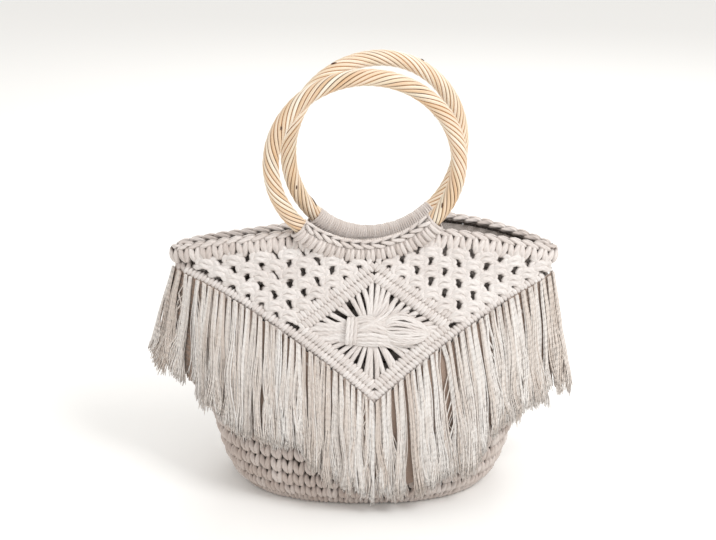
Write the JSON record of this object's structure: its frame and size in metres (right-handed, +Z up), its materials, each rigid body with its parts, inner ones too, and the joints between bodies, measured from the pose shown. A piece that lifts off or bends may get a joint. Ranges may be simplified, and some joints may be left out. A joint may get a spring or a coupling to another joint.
{
  "type": "crochet tote bag",
  "caption": "Crocheted cotton basket tote with a knotted net and diamond V panel, long fringe and twisted rattan ring handles.",
  "frame": {"origin": "middle of the flat base, on the surface that the bag stands on", "axes": "+Z up towards the handles, +X to the right end seen from the front, +Y from the knotted front to the plain back"},
  "size_m": [0.3559, 0.1604, 0.3623],
  "materials": {
    "crochet_cord": "matt crocheted cotton cord",
    "knotted_cord": "matt knotted cotton cord",
    "fringe_yarn": "combed loose cotton yarn",
    "rattan": "smooth peeled rattan, twisted"
  },
  "bodies": {
    "root": {"basket_body": "crochet_cord", "rim_left": "crochet_cord", "rim_right": "crochet_cord", "casing_front": "crochet_cord", "casing_back": "crochet_cord", "ring_front": "rattan", "ring_back": "rattan", "net_left": "knotted_cord", "net_right": "knotted_cord", "edge_rib": "knotted_cord", "chevron_rib": "knotted_cord", "diamond_rib": "knotted_cord", "flower_knot": "knotted_cord", "fringe_left": "fringe_yarn", "fringe_right": "fringe_yarn"}
  },
  "joints": []
}
